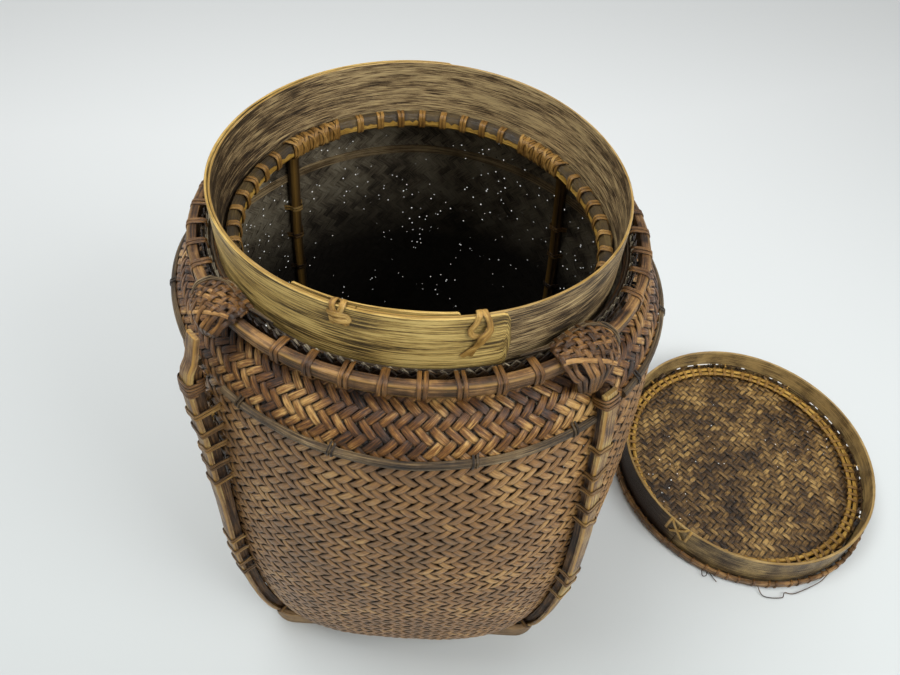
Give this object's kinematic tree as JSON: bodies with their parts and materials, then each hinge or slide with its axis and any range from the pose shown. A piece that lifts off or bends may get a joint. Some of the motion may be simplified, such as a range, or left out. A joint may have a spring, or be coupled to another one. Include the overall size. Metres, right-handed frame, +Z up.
{
  "type": "lidded rice basket",
  "caption": "Deep twill-plaited basket on a square foot frame, with lashed corner posts, a bent collar in its round mouth and a loose shallow lid upside down beside it.",
  "frame": {"origin": "on the floor, in the middle of the space that the basket and its lid take up together; the basket stands on the left (-X) side and the lid on the right (+X) side", "axes": "+Z up; -Y is the front that faces the viewer in the picture; +X runs from the basket towards the lid; the foot frame's sides lie along X and Y"},
  "size_m": [0.6411, 0.3781, 0.4128],
  "materials": {
    "weave_brown": "worn, matt",
    "lining_grey": "matt",
    "bamboo_straw": "satin, worn",
    "bamboo_gold": "satin",
    "bamboo_skin": "satin, worn",
    "rattan_brown": "satin",
    "rattan_tan": "satin",
    "wood_grey": "matt",
    "lid_olive": "matt"
  },
  "bodies": {
    "basket": {"collar_band": "bamboo_straw", "collar_inner_strip": "bamboo_gold", "collar_outer_strip": "bamboo_straw", "collar_seat_hoop": "bamboo_gold", "collar_seat_lashing_back": "rattan_tan", "collar_seat_lashing_front": "rattan_tan", "collar_seat_lashing_left": "rattan_tan", "collar_seat_lashing_right": "rattan_tan", "collar_tie_long": "rattan_tan", "collar_tie_plain": "rattan_tan", "corner_cap_back_left": "rattan_brown", "corner_cap_back_right": "rattan_brown", "corner_cap_front_left": "rattan_brown", "corner_cap_front_right": "rattan_brown", "foot_frame": "wood_grey", "girdle_hoop_back": "wood_grey", "girdle_hoop_front": "wood_grey", "girdle_hoop_left": "wood_grey", "girdle_hoop_right": "wood_grey", "inner_girdle_hoop": "wood_grey", "inner_lining": "lining_grey", "inner_post_back_left": "bamboo_skin", "inner_post_back_right": "bamboo_skin", "inner_post_bands_back_left": "rattan_tan", "inner_post_bands_back_right": "rattan_tan", "inner_post_bands_front_left": "rattan_tan", "inner_post_bands_front_right": "rattan_tan", "inner_post_front_left": "bamboo_skin", "inner_post_front_right": "bamboo_skin", "neck_lashing_back": "rattan_brown", "neck_lashing_front": "rattan_brown", "neck_lashing_left": "rattan_brown", "neck_lashing_right": "rattan_brown", "neck_packing_strand": "rattan_brown", "neck_rim_hoop": "bamboo_skin", "outer_weave": "weave_brown", "post_head_binding_back_left": "rattan_brown", "post_head_binding_back_right": "rattan_brown", "post_head_binding_front_left": "rattan_brown", "post_head_binding_front_right": "rattan_brown", "post_lashings_back_left": "rattan_brown", "post_lashings_back_right": "rattan_brown", "post_lashings_front_left": "rattan_brown", "post_lashings_front_right": "rattan_brown", "post_lath_back_left": "bamboo_gold", "post_lath_back_right": "bamboo_gold", "post_lath_front_left": "bamboo_gold", "post_lath_front_right": "bamboo_gold", "post_stick_back_left": "rattan_tan", "post_stick_back_right": "rattan_tan", "post_stick_front_left": "rattan_tan", "post_stick_front_right": "rattan_tan"},
    "lid": {"lid_band": "bamboo_straw", "lid_band_stitch": "rattan_tan", "lid_inner_hoop": "bamboo_gold", "lid_inner_lashing": "rattan_tan", "lid_outer_hoop": "bamboo_skin", "lid_outer_lashing": "rattan_brown", "lid_weave": "lid_olive"}
  },
  "joints": [
    {"name": "lid_lift", "type": "slide", "parent": "basket", "child": "lid", "axis": [0, 0, 1], "range_m": [0, 0.45]}
  ]
}
